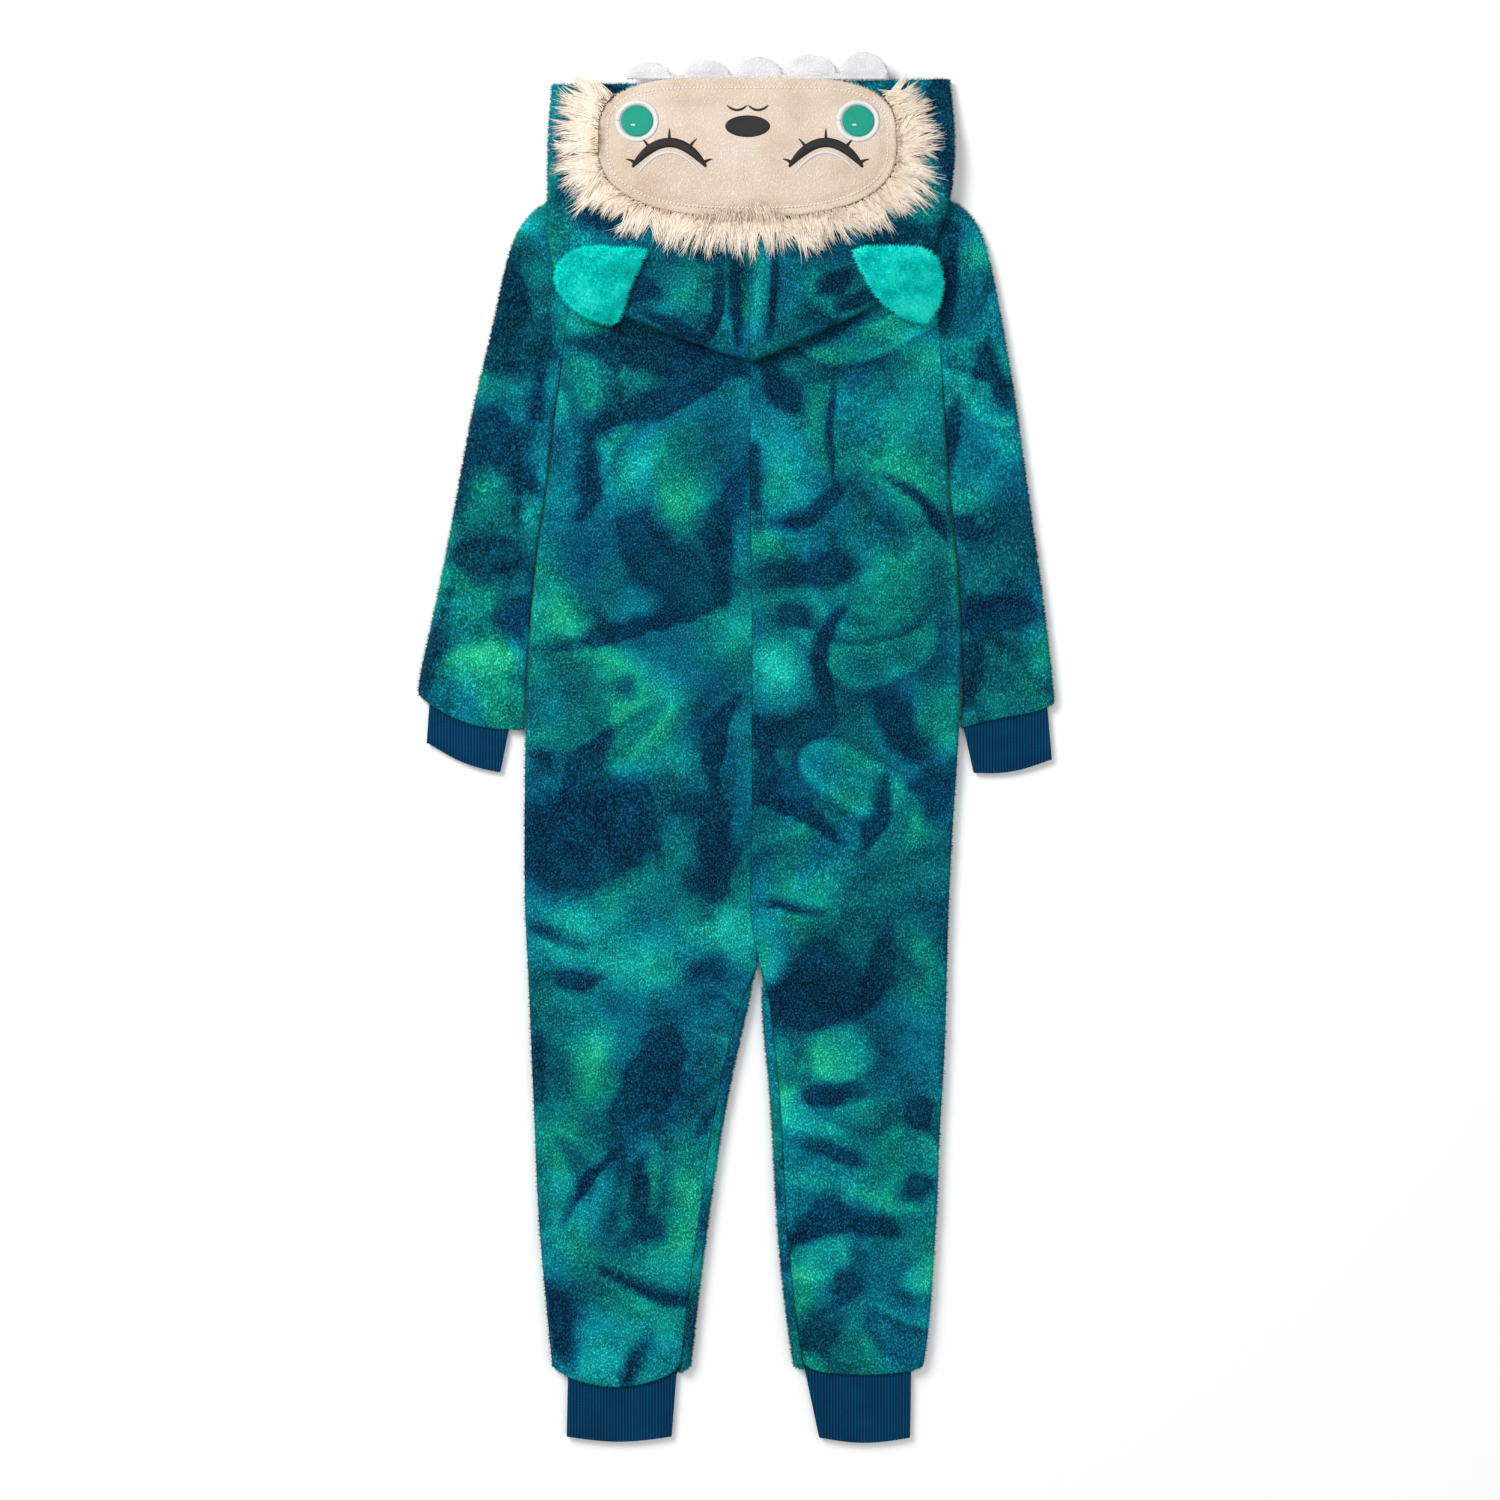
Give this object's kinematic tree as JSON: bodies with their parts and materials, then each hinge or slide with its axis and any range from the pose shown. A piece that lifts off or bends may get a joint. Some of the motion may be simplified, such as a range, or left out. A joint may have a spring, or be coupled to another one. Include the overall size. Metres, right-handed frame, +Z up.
{
  "type": "child's hooded onesie pajama",
  "caption": "Child's plush hooded onesie pajama laid flat with its back up, with rib cuffs, fur-trimmed hood panel, ears and a front zip.",
  "frame": {"origin": "middle of the garment's outline, on the surface that it lies on", "axes": "+Y up the garment towards the hood, +X to the right as seen from above, +Z up from the surface"},
  "size_m": [0.5716, 1.2485, 0.0269],
  "materials": {
    "plush": "short plush pile with a marbled blue and green print",
    "rib": "rib knit",
    "cream": "short cream plush",
    "fur": "long cream pile",
    "white": "white fleece",
    "teal": "short teal plush",
    "tape": "woven zip tape",
    "zip_metal": "satin enamel"
  },
  "bodies": {
    "garment": {"front_left": "plush", "front_right": "plush", "back_left": "plush", "back_right": "plush", "sleeve_left": "plush", "sleeve_right": "plush", "hood_left": "plush", "hood_right": "plush", "wrist_cuff_left": "rib", "wrist_cuff_right": "rib", "ankle_cuff_left": "rib", "ankle_cuff_right": "rib", "face_panel": "cream", "fur_trim": "fur", "scallop_trim": "white", "ear_left": "teal", "ear_right": "teal", "zip_tape_left": "tape", "zip_tape_right": "tape", "zip_slider": "zip_metal"},
    "zip_pull": {"zip_pull": "zip_metal"}
  },
  "joints": [
    {"name": "pull_swing", "type": "hinge", "parent": "garment", "child": "zip_pull", "pos_m": [0.01205, 0.491, 0.0014], "axis": [1, 0, 0], "range_deg": [0, 150]}
  ]
}
